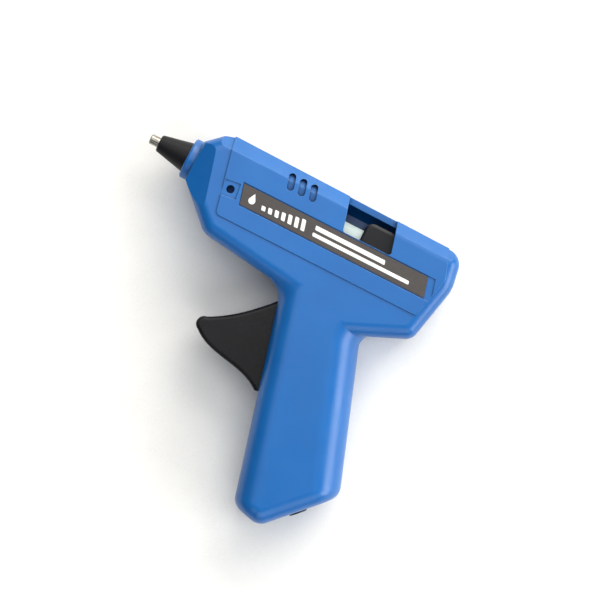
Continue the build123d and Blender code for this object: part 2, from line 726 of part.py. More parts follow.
for name, side in (("contact_plate_upper", 1), ("contact_plate_lower", -1)):
    inner = ptc_y + side * PTC_THICKNESS / 2
    heights = (inner, inner + side * PLATE_THICKNESS)
    with BuildPart() as contact_plate:
        add(slab((PTC_FRONT - PLATE_LAP, ptc_rear + PLATE_LAP), heights, (-PTC_WIDTH / 2, PTC_WIDTH / 2)))
        tab = (side * TAB_Z - TAB_WIDTH / 2, side * TAB_Z + TAB_WIDTH / 2)
        add(slab((ptc_rear, TAB_END), heights, tab))
    finish(contact_plate.part, name)

with BuildPart() as ptc_film:
    half_height = stack_half + SNUG
    half_width = PTC_WIDTH / 2 + SNUG
    ends = (PTC_FRONT - FILM_LAP, ptc_rear + FILM_LAP)
    skin = FILM_THICKNESS
    add(
        slab(
            ends,
            (ptc_y - half_height - skin, ptc_y + half_height + skin),
            (-half_width - skin, half_width + skin),
        )
    )
    add(
        slab(ends, (ptc_y - half_height, ptc_y + half_height), (-half_width, half_width)),
        mode=Mode.SUBTRACT,
    )
finish(ptc_film.part, "ptc_film")

with BuildPart() as heater_clip:
    clip_span = (CLIP_FRONT, CLIP_REAR)
    inside = heater_radius + SNUG
    outside = inside + CLIP_WALL
    add(slab(clip_span, (block_low - SNUG - CLIP_WALL, CLIP_TOP), (-outside, outside)))
    add(slab(clip_span, (block_low - SNUG, 0), (-inside, inside)), mode=Mode.SUBTRACT)
finish(heater_clip.part, "heater_clip")

with BuildPart() as feed_sleeve:
    add(
        turned(
            (HEATER_BODY_END + SNUG, spigot_radius + SNUG),
            (HEATER_BODY_END + SNUG, feed_root_radius),
            (feed_root_end, feed_root_radius),
            (feed_root_end + FEED_SHOULDER, feed_radius),
            (FEED_END_X, feed_radius),
            (FEED_END_X, feed_radius - FEED_WALL),
            (SPIGOT_END + FEED_BORE_STEP, feed_radius - FEED_WALL),
            (SPIGOT_END + SNUG, spigot_radius + SNUG),
        )
    )
finish(feed_sleeve.part, "feed_sleeve")

with BuildPart() as sleeve_clip:
    clip_inner = feed_root_radius + SNUG
    add(round_x(clip_inner + BAND_WALL, BAND_FRONT, BAND_REAR))
    add(round_x(clip_inner, BAND_FRONT, BAND_REAR), mode=Mode.SUBTRACT)
    gap_height = (0, clip_inner + 2 * BAND_WALL)
    add(slab((BAND_FRONT, BAND_REAR), gap_height, (-BAND_GAP / 2, BAND_GAP / 2)), mode=Mode.SUBTRACT)
finish(sleeve_clip.part, "sleeve_clip")

# ---------------------------------------------------------------- feed carriage and its jaw
with BuildPart() as feed_carriage:
    add(slab((CARRIAGE_X, carriage_rear), (CARRIAGE_LOW, CARRIAGE_TOP), (-CARRIAGE_HALF, CARRIAGE_HALF)))
    top_edges = feed_carriage.edges().filter_by(Axis.Z).group_by(Axis.Y)[-1]
    fillet(top_edges.sort_by(Axis.X)[0], CARRIAGE_NOSE_ROUND)
    fillet(feed_carriage.edges().filter_by(Axis.X).group_by(Axis.Y)[-1], CARRIAGE_EDGE_ROUND)
    for side in SIDES:
        add(
            slab(
                (CARRIAGE_X, carriage_rear - CHEEK_SHORT),
                (CHEEK_LOW, CARRIAGE_LOW),
                (side * cheek_inner, side * CHEEK_HALF),
            )
        )
        add(
            slab(
                (CARRIAGE_X, carriage_rear),
                (RAIL_Y - RAIL_HEIGHT / 2 - RAIL_PLAY, RAIL_Y + RAIL_HEIGHT / 2 + RAIL_PLAY),
                (side * (RAIL_REACH - FREE), side * (CARRIAGE_HALF + 1)),
            ),
            mode=Mode.SUBTRACT,
        )
    add(slab((LUG_X, LUG_X + LUG_THICKNESS), (LUG_LOW, CARRIAGE_LOW + CHEEK_LAP), (-CHEEK_HALF, CHEEK_HALF)))
    for side in SIDES:
        add(
            slab(
                (LUG_X, CARRIAGE_X + 1),
                (CHEEK_LOW, CARRIAGE_LOW + CHEEK_LAP),
                (side * cheek_inner, side * CHEEK_HALF),
            )
        )
    add(round_x(PEG_RADIUS, LUG_X - PEG_LENGTH, LUG_X, spring_y))
    add(
        slab(
            (LUG_X + LUG_THICKNESS, carriage_rear - CHEEK_SHORT),
            (CHEEK_LOW - 1, FORK_ROOF),
            (-cheek_inner, cheek_inner),
        ),
        mode=Mode.SUBTRACT,
    )
    jaw_slot = (JAW_PIN_X - JAW_SLOT_FRONT, JAW_PIN_X + JAW_SLOT_REAR)
    add(slab(jaw_slot, (CHEEK_LOW, 0), (-cheek_inner, cheek_inner)), mode=Mode.SUBTRACT)
    add(round_x(inlet_radius, CARRIAGE_X, carriage_rear), mode=Mode.SUBTRACT)
    add(round_x(feed_radius + FREE, CARRIAGE_X, CARRIAGE_X + travel + SLEEVE_RELIEF), mode=Mode.SUBTRACT)
    add(round_z(DRIVE_PIN_RADIUS + SNUG, drive_pin_x, drive_pin_y, -pin_end, pin_end), mode=Mode.SUBTRACT)
    add(round_z(JAW_PIN_RADIUS + SNUG, JAW_PIN_X, JAW_PIN_Y, -pin_end, pin_end), mode=Mode.SUBTRACT)
finish(feed_carriage.part, "feed_carriage")

with BuildPart() as drive_pin:
    add(round_z(DRIVE_PIN_RADIUS, drive_pin_x, drive_pin_y, -pin_end, pin_end))
finish(drive_pin.part, "drive_pin")

with BuildPart() as jaw_pin:
    add(round_z(JAW_PIN_RADIUS, JAW_PIN_X, JAW_PIN_Y, -pin_end, pin_end))
finish(jaw_pin.part, "jaw_pin")

with BuildPart() as clamp_jaw:
    with BuildSketch(Plane.XY.offset(-JAW_HALF)):
        with BuildLine():
            Polyline(
                (JAW_PIN_X - JAW_TIP - 0.5, JAW_PIN_Y + 0.9),
                (JAW_PIN_X - JAW_TIP, -inlet_radius - JAW_TIP_GAP),
                (JAW_PIN_X - JAW_TIP + JAW_TIP_FLAT, -inlet_radius - JAW_TIP_GAP),
                (JAW_PIN_X + JAW_BACK, JAW_PIN_Y + 1.4),
                (JAW_PIN_X + JAW_BACK, JAW_PIN_Y - 1.2),
                (JAW_PIN_X, JAW_PIN_Y - JAW_BACK),
                (JAW_PIN_X - JAW_BACK, JAW_PIN_Y - 1.2),
                close=True,
            )
        make_face()
    extrude(amount=2 * JAW_HALF)
    add(round_z(JAW_PIN_RADIUS + PIN_FIT, JAW_PIN_X, JAW_PIN_Y, -JAW_HALF, JAW_HALF), mode=Mode.SUBTRACT)
finish(clamp_jaw.part, "clamp_jaw")

with BuildPart() as return_spring:
    spring_span = (SPRING_RIB_X + RIB + SNUG, LUG_X - SNUG)
    add(round_x(SPRING_RADIUS, *spring_span, spring_y))
    add(round_x(SPRING_RADIUS - SPRING_WIRE, *spring_span, spring_y), mode=Mode.SUBTRACT)
finish(return_spring.part, "return_spring")

# ---------------------------------------------------------------- trigger
fork_half = DRIVE_PIN_RADIUS + FORK_PLAY
arm_half_width = fork_half + PRONG
hook_y = SLOT_TOP - 0.6
arm_lean = Plane(
    origin=(PIVOT_X, PIVOT_Y, -ARM_HALF),
    x_dir=(cos(half_swing), -sin(half_swing), 0),
    z_dir=(0, 0, 1),
)
inner_gap = WALL / cos(radians(GRIP_FRONT_LEAN)) + SLOT_GAP

with BuildPart() as trigger:
    with BuildSketch(Plane.XY.offset(-FIN_HALF)):
        with BuildLine() as fin_line:
            top_edge = Spline(
                (grip_front_x(hook_y) + 0.2, hook_y),
                *[(TIP_X + x, TIP_Y + y) for x, y in TRIGGER_TOP],
            )
            tip_end = (TIP_X + TRIGGER_NOSE[0], TIP_Y + TRIGGER_NOSE[1])
            tip = ThreePointArc(top_edge @ 1, (TIP_X, TIP_Y), tip_end)
            low_edge = Spline(
                tip @ 1,
                *[(TIP_X + x, TIP_Y + y) for x, y in TRIGGER_LOW],
                (grip_front_x(SLOT_LOW) - 1.9, SLOT_LOW + 1.2),
            )
            Polyline(
                low_edge @ 1,
                (grip_front_x(SLOT_LOW) + 3.4, SLOT_LOW + 2.6),
                (PIVOT_X + HUB_RADIUS - 0.4, PIVOT_Y - 8.0),
                (PIVOT_X + HUB_RADIUS - 0.4, PIVOT_Y),
                (PIVOT_X - 3.0, PIVOT_Y + 3.4),
                (grip_front_x(hook_y) + 4.0, hook_y + 0.2),
                top_edge @ 0,
            )
        make_face()
    extrude(amount=2 * FIN_HALF)
    rim = trigger.edges().filter_by(lambda e: abs(abs(e.center().Z) - FIN_HALF) < 0.001)
    fillet(rim.filter_by(lambda e: e.center().X < grip_front_x(e.center().Y)), TRIGGER_ROUND)
    add(round_z(HUB_RADIUS, PIVOT_X, PIVOT_Y, -FIN_HALF, FIN_HALF))
    # flange that stops against the inside of the grip's front wall
    with BuildSketch(Plane.XY.offset(-FLANGE_HALF)):
        flange_low = SLOT_LOW + 3.6
        flange_top = SLOT_TOP - 3.5
        with BuildLine():
            Polyline(
                (grip_front_x(flange_top) + inner_gap, flange_top),
                (grip_front_x(flange_top) + inner_gap + FLANGE_THICKNESS, flange_top),
                (grip_front_x(flange_low) + inner_gap + FLANGE_THICKNESS, flange_low),
                (grip_front_x(flange_low) + inner_gap, flange_low),
                close=True,
            )
        make_face()
    extrude(amount=2 * FLANGE_HALF)
    # forked arm that drives the carriage
    with BuildSketch(arm_lean):
        with Locations((0, ARM_LENGTH / 2)):
            Rectangle(2 * arm_half_width, ARM_LENGTH + 2 * DRIVE_PIN_RADIUS + 1.2)
        with Locations((0, ARM_LENGTH + 1)):
            Rectangle(2 * fork_half, 2 * fork_half + 3, mode=Mode.SUBTRACT)
    extrude(amount=2 * ARM_HALF)
    add(
        round_z(PIVOT_PIN_RADIUS + PIN_FIT, PIVOT_X, PIVOT_Y, -FIN_HALF, FIN_HALF),
        mode=Mode.SUBTRACT,
    )
finish(trigger.part, "trigger")

with BuildPart() as trigger_pin:
    add(round_z(PIVOT_PIN_RADIUS, PIVOT_X, PIVOT_Y, -RAIL_REACH, RAIL_REACH))
finish(trigger_pin.part, "trigger_pin")

# ---------------------------------------------------------------- wiring
CAP_ENTRY = Vector(104.0, -66.0, 2.8)
LEAD_ROUTE = [
    (60.0, 0.0, 0.0),
    (62.2, -17.6, 6.0),
    (72.0, -19.3, 8.2),
    (84.0, -20.6, 8.6),
    (93.5, -27.5, 8.0),
    (97.2, -40.0, 5.2),
    (100.6, -53.3, 2.8),
]
lead_dive = Vector(CAP_ENTRY.X - LEAD_ROUTE[-1][0], CAP_ENTRY.Y - LEAD_ROUTE[-1][1]).normalized()


def bend_radii(points):
    """Largest tangent arcs that a route's runs leave room for."""
    radii = []
    for before, here, after in zip(points, points[1:], points[2:]):
        came = here - before
        goes = after - here
        half_turn = radians(came.get_angle(goes)) / 2
        radii.append(BEND_SHARE * min(came.length, goes.length) / tan(half_turn))
    return radii


for name, side in (("lead_live", 1), ("lead_neutral", -1)):
    start_y = ptc_y + side * (PTC_THICKNESS + PLATE_THICKNESS) / 2
    start = Vector(TAB_END, start_y, side * TAB_Z)
    first = Vector(LEAD_ROUTE[0][0], start_y + LEAD_ROUTE[0][1], side * (TAB_Z + LEAD_ROUTE[0][2]))
    middle_points = [Vector(x, y, side * z) for x, y, z in LEAD_ROUTE[1:]]
    end = Vector(CAP_ENTRY.X, CAP_ENTRY.Y, side * CAP_ENTRY.Z)
    route = [start, first, *middle_points, end]
    radii = bend_radii(route)
    print(name, "bend radii", [round(radius, 1) for radius in radii])
    with BuildPart() as lead:
        with BuildLine() as lead_line:
            FilletPolyline(*route, radius=radii)
        with BuildSketch(Plane(start, z_dir=(first - start).normalized())):
            Circle(LEAD_RADIUS)
        sweep(path=lead_line.line)
    length = sum(edge.length for edge in lead_line.edges())
    expected = length * pi * LEAD_RADIUS**2
    print(name, "length", round(length, 1), "volume", round(lead.part.volume, 1), "of", round(expected, 1))
    finish(lead.part, name)

with BuildPart() as crimp_caps:
    for side in SIDES:
        mouth = Vector(CAP_ENTRY.X, CAP_ENTRY.Y, side * CAP_ENTRY.Z) - lead_dive * CAP_GRIP
        with BuildSketch(Plane(mouth, z_dir=lead_dive)):
            Circle(CAP_RADIUS)
        extrude(amount=CAP_LENGTH)
        with BuildSketch(Plane(mouth, z_dir=lead_dive)):
            Circle(LEAD_RADIUS + SNUG)
        extrude(amount=CAP_GRIP + SNUG, mode=Mode.SUBTRACT)
    fillet(crimp_caps.edges().filter_by(GeomType.CIRCLE).group_by(Axis.Y)[0], CAP_ROUND)
finish(crimp_caps.part, "crimp_caps")

with BuildPart() as cord_gland:
    add(gland_round(GLAND_RADIUS, -GLAND_PROUD, GLAND_DEPTH))
    add(gland_round(GLAND_FLANGE, WALL + SNUG, WALL + SNUG + GLAND_FLANGE_THICKNESS))
    add(gland_round(GLAND_BORE, -GLAND_PROUD, GLAND_DEPTH), mode=Mode.SUBTRACT)
finish(cord_gland.part, "cord_gland")

print("travel", round(travel, 3), "drive pin", round(drive_pin_x, 3), drive_pin_y)
print("gland mouth", gland_mouth, "axis", gland_out, "feed radius", feed_radius)
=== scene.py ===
"""Looks, small parts, camera and studio of a mini hot glue gun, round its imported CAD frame.

X runs back along the glue channel from the nozzle tip, Y goes up through the barrel and Z comes
out of the label side, in metres.  The gun lies on its plain side, so the floor is below it in Z.
"""

import logging
import math
from collections.abc import Callable
from dataclasses import dataclass
from enum import Enum

import bpy
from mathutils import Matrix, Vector


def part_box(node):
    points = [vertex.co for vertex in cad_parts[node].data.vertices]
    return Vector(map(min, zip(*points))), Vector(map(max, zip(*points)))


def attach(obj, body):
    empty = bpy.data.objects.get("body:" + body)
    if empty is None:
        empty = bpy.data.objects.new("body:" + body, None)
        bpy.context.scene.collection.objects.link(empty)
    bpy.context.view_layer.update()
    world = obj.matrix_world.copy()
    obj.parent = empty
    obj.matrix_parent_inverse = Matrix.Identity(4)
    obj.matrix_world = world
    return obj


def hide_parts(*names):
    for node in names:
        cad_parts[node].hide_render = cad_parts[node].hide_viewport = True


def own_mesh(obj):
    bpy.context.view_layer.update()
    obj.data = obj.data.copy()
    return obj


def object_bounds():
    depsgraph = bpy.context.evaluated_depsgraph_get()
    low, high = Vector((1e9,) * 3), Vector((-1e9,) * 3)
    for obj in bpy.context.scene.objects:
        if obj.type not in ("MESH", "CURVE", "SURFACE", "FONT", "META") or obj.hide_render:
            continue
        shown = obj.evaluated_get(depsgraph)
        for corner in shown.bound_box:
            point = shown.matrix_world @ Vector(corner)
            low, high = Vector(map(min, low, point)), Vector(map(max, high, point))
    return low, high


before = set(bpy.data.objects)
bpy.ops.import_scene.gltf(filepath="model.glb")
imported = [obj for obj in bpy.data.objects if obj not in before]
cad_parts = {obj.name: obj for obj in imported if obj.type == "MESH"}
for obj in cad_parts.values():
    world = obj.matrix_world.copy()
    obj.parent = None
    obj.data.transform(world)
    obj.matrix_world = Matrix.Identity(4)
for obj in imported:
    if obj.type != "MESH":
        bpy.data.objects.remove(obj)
cad_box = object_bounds()

log = logging.getLogger("glue_gun")
MM = 0.001
HAIR = 0.001 * MM  # places closer than this count as level
WELD = 0.0005 * MM  # vertices closer than this are merged
LEAN = math.radians(15.0)  # the crease, the vents and the window all lean by this
Socket = bpy.types.NodeSocket


# ---------------------------------------------------------------- helpers
def linear(colour: str, alpha: float = 1.0) -> tuple[float, float, float, float]:
    """Turns an sRGB hex colour to the linear values that shaders take.

    Args:
        colour: The colour as "#rrggbb".
        alpha: The fourth value.

    Returns:
        Linear red, green and blue, and alpha.
    """
    parts = [int(colour[i : i + 2], 16) / 255 for i in (1, 3, 5)]
    curved = [p / 12.92 if p <= 0.04045 else ((p + 0.055) / 1.055) ** 2.4 for p in parts]
    return (*curved, alpha)


def per_metre(size_mm: float) -> float:
    """Texture scale whose features are size_mm across, on coordinates in metres."""
    return 1.0 / (size_mm * MM)


def add(
    tree: bpy.types.NodeTree, kind: str, inputs: dict[str | int, object] | None = None, **settings: object
) -> bpy.types.Node:
    """Adds a node with its settings, values and links.

    Args:
        tree: The node tree to add to.
        kind: The node's type, without its ShaderNode prefix.
        inputs: A value, or the socket to link from, for each input by name or index.
        settings: The node's own properties.

    Returns:
        The new node.
    """
    made = tree.nodes.new(f"ShaderNode{kind}")
    for name, value in settings.items():
        setattr(made, name, value)
    for name, value in (inputs or {}).items():
        if isinstance(value, Socket):
            tree.links.new(value, made.inputs[name])
        else:
            made.inputs[name].default_value = value
    return made


def box_of(node: str) -> tuple[Vector, Vector]:
    """Lowest and highest corners of a CAD node at rest."""
    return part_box(node)


def dress(node: str, finish: bpy.types.Material) -> None:
    """Gives every material slot of a CAD node one finish.

    Args:
        node: The CAD node's name.
        finish: The material.
    """
    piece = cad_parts[node]
    for slot in piece.material_slots:
        slot.material = finish
    log.info("dressed %s in %s", node, finish.name)


# ---------------------------------------------------------------- modelling steps
def clear_selection() -> None:
    """Deselects every object, so that operators act on the new piece alone."""
    if bpy.context.object and bpy.context.object.mode != "OBJECT":
        bpy.ops.object.mode_set(mode="OBJECT")
    bpy.ops.object.select_all(action="DESELECT")


def select_where(mode: str, test: Callable[[object, bpy.types.Mesh], bool]) -> None:
    """Selects the active mesh's elements that pass a test, and nothing else, in edit mode.

    Args:
        mode: "VERT", "EDGE" or "FACE".
        test: Takes an element and its mesh, and says whether it is selected.
    """
    mesh = bpy.context.object.data
    bpy.ops.object.mode_set(mode="EDIT")
    bpy.ops.mesh.select_mode(type=mode)
    bpy.ops.mesh.select_all(action="DESELECT")
    bpy.ops.object.mode_set(mode="OBJECT")
    elements = {"VERT": mesh.vertices, "EDGE": mesh.edges, "FACE": mesh.polygons}[mode]
    for element in elements:
        element.select = test(element, mesh)
    bpy.ops.object.mode_set(mode="EDIT")


def edge_ends(edge: bpy.types.MeshEdge, mesh: bpy.types.Mesh) -> tuple[Vector, Vector]:
    """Places of an edge's two vertices."""
    first, second = edge.vertices
    return mesh.vertices[first].co, mesh.vertices[second].co


def settle(
    name: str, finish: bpy.types.Material, body: str, smooth: float = 35.0
) -> bpy.types.Object:
    """Finishes the active mesh: place applied, normals out, shaded, dressed and riding on its body.

    Args:
        name: The piece's name.
        finish: Its material.
        body: The CAD body that it moves with.
        smooth: Edges sharper than this many degrees stay sharp.

    Returns:
        The finished piece.
    """
    if bpy.context.object.mode != "OBJECT":
        bpy.ops.object.mode_set(mode="OBJECT")
    piece = bpy.context.object
    bpy.ops.object.transform_apply(location=True, rotation=True, scale=True)
    bpy.ops.object.mode_set(mode="EDIT")
    bpy.ops.mesh.select_all(action="SELECT")
    bpy.ops.mesh.remove_doubles(threshold=WELD)
    bpy.ops.mesh.normals_make_consistent(inside=False)
    bpy.ops.object.mode_set(mode="OBJECT")
    bpy.ops.object.shade_smooth_by_angle(angle=math.radians(smooth))
    piece.name = piece.data.name = name
    piece.data.materials.clear()
    piece.data.materials.append(finish)
    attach(piece, body)
    log.info("made %s", name)
    return piece


# ---------------------------------------------------------------- finishes
@dataclass(frozen=True)
class Moulded:
    """Injection-moulded plastic or rubber: an even colour that drifts slightly with the melt's
    flow, the fine spark-eroded grain of the mould, and corners that the mould leaves just round."""

    name: str
    colour: str
    drift: str  # the colour that it drifts to
    roughness: float
    spread: float = 0.06  # how far the roughness varies
    ior: float = 1.5
    specular: float = 0.5
    flow_mm: float = 22.0  # length of the melt's streaks
    patch_mm: float = 7.0  # size of its duller patches
    grain_mm: float = 0.35  # coarser than the real 0.05 mm, so that it shows
    grain_depth_mm: float = 0.006
    peel_mm: float = 5.0  # slow waviness of the skin, left by shrinkage
    peel_depth_mm: float = 0.012
    corner_mm: float = 0.25
    corner_highlight_colour: str = ""  # painted highlight: the lighter colour painted on the corners
    corner_highlight_share: float = 0.30  # how much of that painted highlight the sharpest corners take
    nook_shade_colour: str = ""  # painted shade: the darker colour painted into its nooks, where little light comes in
    recess_mm: float = 3.0  # how wide a nook still counts
    recess_roughness: float = 0.8
    seam_mm: float = 0.0  # width of the parting line at Z = 0, where the shells meet
    seam_colour: str = "#062a52"
    seam_depth_mm: float = 0.12
    subsurface: float = 0.0
    depth_mm: float = 1.5  # how far light goes in, with subsurface
    transmission: float = 0.0

    def make(self) -> bpy.types.Material:
        """Builds the material.

        Returns:
            The finished material.
        """
        made = bpy.data.materials.new(self.name)
        made.use_nodes = True
        tree = made.node_tree
        shader = tree.nodes["Principled BSDF"]
        place = add(tree, "TexCoord").outputs["Object"]
        corner = add(tree, "Bevel", {"Radius": self.corner_mm * MM}, samples=6).outputs["Normal"]
        tint = self.streak(tree, place)
        dullness = self.dull_patches(tree, place)
        normal = self.mould_skin(tree, place, corner)
        # painted highlight: the corners are lightened
        if self.corner_highlight_colour:
            tint = self.paint_corner_highlights(tree, tint, corner)
        # painted shade: the nooks are darkened
        if self.nook_shade_colour:
            tint, dullness = self.paint_nook_shade(tree, tint, dullness)
        if self.seam_mm:
            tint, normal = self.part_shells(tree, place, tint, normal)
        tree.links.new(tint, shader.inputs["Base Color"])
        tree.links.new(dullness, shader.inputs["Roughness"])
        tree.links.new(normal, shader.inputs["Normal"])
        shader.inputs["IOR"].default_value = self.ior
        shader.inputs["Specular IOR Level"].default_value = self.specular
        shader.inputs["Transmission Weight"].default_value = self.transmission
        if self.subsurface:
            shader.inputs["Subsurface Weight"].default_value = self.subsurface
            shader.inputs["Subsurface Radius"].default_value = (1.0, 0.95, 0.9)
            shader.inputs["Subsurface Scale"].default_value = self.depth_mm * MM
        return made

    def streak(self, tree: bpy.types.NodeTree, place: Socket) -> Socket:
        """Lets the colour drift along the melt's flow.

        Args:
            tree: The node tree.
            place: Object coordinates.

        Returns:
            The colour.
        """
        flow = add(tree, "TexNoise", {"Vector": place, "Scale": per_metre(self.flow_mm), "Detail": 3.0})
        colour = add(tree, "ValToRGB", {"Fac": flow.outputs["Fac"]})
        colour.color_ramp.elements[0].position = 0.32
        colour.color_ramp.elements[0].color = linear(self.colour)
        colour.color_ramp.elements[1].position = 0.72
        colour.color_ramp.elements[1].color = linear(self.drift)
        return colour.outputs["Color"]

    def dull_patches(self, tree: bpy.types.NodeTree, place: Socket) -> Socket:
        """Lets the roughness vary in patches.

        Args:
            tree: The node tree.
            place: Object coordinates.

        Returns:
            The roughness.
        """
        patches = add(tree, "TexNoise", {"Vector": place, "Scale": per_metre(self.patch_mm), "Detail": 4.0})
        limits = {
            "From Min": 0.3,
            "From Max": 0.7,
            "To Min": self.roughness - self.spread,
            "To Max": self.roughness + self.spread,
        }
        return add(tree, "MapRange", {"Value": patches.outputs["Fac"], **limits}).outputs["Result"]

    def mould_skin(self, tree: bpy.types.NodeTree, place: Socket, corner: Socket) -> Socket:
        """Shapes the skin: rounded corners, slow waves and then the mould's grain.

        Args:
            tree: The node tree.
            place: Object coordinates.
            corner: Normal that rounds the corners.

        Returns:
            The finished normal.
        """
        normal = corner
        layers = ((self.peel_mm, self.peel_depth_mm, 1.0), (self.grain_mm, self.grain_depth_mm, 2.0))
        for size_mm, depth_mm, detail in layers:
            relief = add(tree, "TexNoise", {"Vector": place, "Scale": per_metre(size_mm), "Detail": detail})
            raised = {"Height": relief.outputs["Fac"], "Normal": normal, "Distance": depth_mm * MM}
            normal = add(tree, "Bump", {**raised, "Strength": 1.0}).outputs["Normal"]
        return normal

    def paint_corner_highlights(self, tree: bpy.types.NodeTree, tint: Socket, corner: Socket) -> Socket:
        """Paints highlights on the corners: a lighter colour where the rounded normal leaves the real one.

        Args:
            tree: The node tree.
            tint: The colour so far.
            corner: Normal that rounds the corners.

        Returns:
            The colour with highlights painted on its corners.
        """
        facing = add(tree, "NewGeometry").outputs["Normal"]
        turn = add(tree, "VectorMath", {0: corner, 1: facing}, operation="DOT_PRODUCT").outputs["Value"]
        limits = {"From Min": 0.995, "From Max": 0.86, "To Min": 0.0, "To Max": self.corner_highlight_share}
        highlight_mask = add(tree, "MapRange", {"Value": turn, **limits}).outputs["Result"]
        # painted highlight: the lighter corner colour is mixed in
        mixed = {0: highlight_mask, 6: tint, 7: linear(self.corner_highlight_colour)}
        return add(tree, "Mix", mixed, data_type="RGBA").outputs[2]

    def paint_nook_shade(
        self, tree: bpy.types.NodeTree, tint: Socket, dullness: Socket
    ) -> tuple[Socket, Socket]:
        """Paints shade into the nooks, darkening their colour by ambient occlusion, and dulls them.

        Args:
            tree: The node tree.
            tint: The colour so far.
            dullness: The roughness so far.

        Returns:
            Colour with painted shade in the nooks, and roughness with the nooks dulled.
        """
        nook = add(tree, "AmbientOcclusion", {"Distance": self.recess_mm * MM}, samples=8).outputs["AO"]
        limits = {"From Min": 0.3, "From Max": 0.85, "To Min": 0.0, "To Max": 1.0}
        outside_nook_shade = add(tree, "MapRange", {"Value": nook, **limits}).outputs["Result"]
        # painted shade: the darker nook colour is mixed in
        mixed = {0: outside_nook_shade, 6: linear(self.nook_shade_colour), 7: tint}
        tint = add(tree, "Mix", mixed, data_type="RGBA").outputs[2]
        dullness = add(tree, "Mix", {0: outside_nook_shade, 2: self.recess_roughness, 3: dullness}).outputs[0]
        return tint, dullness

    def part_shells(
        self, tree: bpy.types.NodeTree, place: Socket, tint: Socket, normal: Socket
    ) -> tuple[Socket, Socket]:
        """Draws the parting line round the outside, but not over the parting faces themselves.

        Args:
            tree: The node tree.
            place: Object coordinates.
            tint: The colour so far.
            normal: The normal so far.

        Returns:
            Colour and normal with the line.
        """
        height = add(tree, "SeparateXYZ", {"Vector": place}).outputs["Z"]
        away = add(tree, "Math", {0: height}, operation="ABSOLUTE").outputs["Value"]
        limits = {"From Min": 0.0, "From Max": self.seam_mm * MM / 2, "To Min": 0.35, "To Max": 1.0}
        gap = add(
            tree, "MapRange", {"Value": away, **limits}, interpolation_type="SMOOTHSTEP"
        ).outputs["Result"]
        outward = add(tree, "NewGeometry").outputs["Normal"]
        facing = add(tree, "SeparateXYZ", {"Vector": outward}).outputs["Z"]
        flat = add(tree, "Math", {0: facing}, operation="ABSOLUTE").outputs["Value"]
        gap = add(tree, "Math", {0: gap, 1: flat}, operation="MAXIMUM").outputs["Value"]
        mixed = {0: gap, 6: linear(self.seam_colour), 7: tint}
        tint = add(tree, "Mix", mixed, data_type="RGBA").outputs[2]
        groove = {"Height": gap, "Normal": normal, "Distance": self.seam_depth_mm * MM}
        normal = add(tree, "Bump", {**groove, "Strength": 0.8}).outputs["Normal"]
        return tint, normal


class Tooling(Enum):
    """How a metal's surface was made, as the scale of its marks along X, Y and Z."""

    TURNED = (1.0, 0.04, 0.04)  # rings round the glue channel
    DRAWN = (0.03, 1.0, 1.0)  # lines along X
    CAST = (1.0, 1.0, 1.0)  # grain


@dataclass(frozen=True)
class Metal:
    """Bare or plated metal with the marks that its making left in it."""

    name: str
    colour: str
    dull: str  # the colour of its duller patches
    roughness: float
    tooling: Tooling
    mark_mm: float = 0.18  # coarser than real tool marks, so that they show
    mark_depth_mm: float = 0.004
    stain_mm: float = 3.0
    corner_mm: float = 0.15

    def make(self) -> bpy.types.Material:
        """Builds the material.

        Returns:
            The finished material.
        """
        made = bpy.data.materials.new(self.name)
        made.use_nodes = True
        tree = made.node_tree
        shader = tree.nodes["Principled BSDF"]
        place = add(tree, "TexCoord").outputs["Object"]
        stain = add(tree, "TexNoise", {"Vector": place, "Scale": per_metre(self.stain_mm), "Detail": 4.0})
        colour = add(tree, "ValToRGB", {"Fac": stain.outputs["Fac"]})
        colour.color_ramp.elements[0].position = 0.35
        colour.color_ramp.elements[0].color = linear(self.dull)
        colour.color_ramp.elements[1].position = 0.62
        colour.color_ramp.elements[1].color = linear(self.colour)
        run = add(tree, "Mapping", {"Vector": place, "Scale": self.tooling.value}).outputs["Vector"]
        detail = 6.0 if self.tooling is Tooling.CAST else 3.0
        marks = add(tree, "TexNoise", {"Vector": run, "Scale": per_metre(self.mark_mm), "Detail": detail})
        corner = add(tree, "Bevel", {"Radius": self.corner_mm * MM}, samples=6).outputs["Normal"]
        raised = {"Height": marks.outputs["Fac"], "Normal": corner, "Distance": self.mark_depth_mm * MM}
        skin = add(tree, "Bump", {**raised, "Strength": 1.0})
        limits = {
            "From Min": 0.3,
            "From Max": 0.7,
            "To Min": self.roughness * 0.75,
            "To Max": self.roughness * 1.3,
        }
        rough = add(tree, "MapRange", {"Value": marks.outputs["Fac"], **limits})
        tree.links.new(colour.outputs["Color"], shader.inputs["Base Color"])
        tree.links.new(rough.outputs["Result"], shader.inputs["Roughness"])
        tree.links.new(skin.outputs["Normal"], shader.inputs["Normal"])
        shader.inputs["Metallic"].default_value = 1.0
        return made


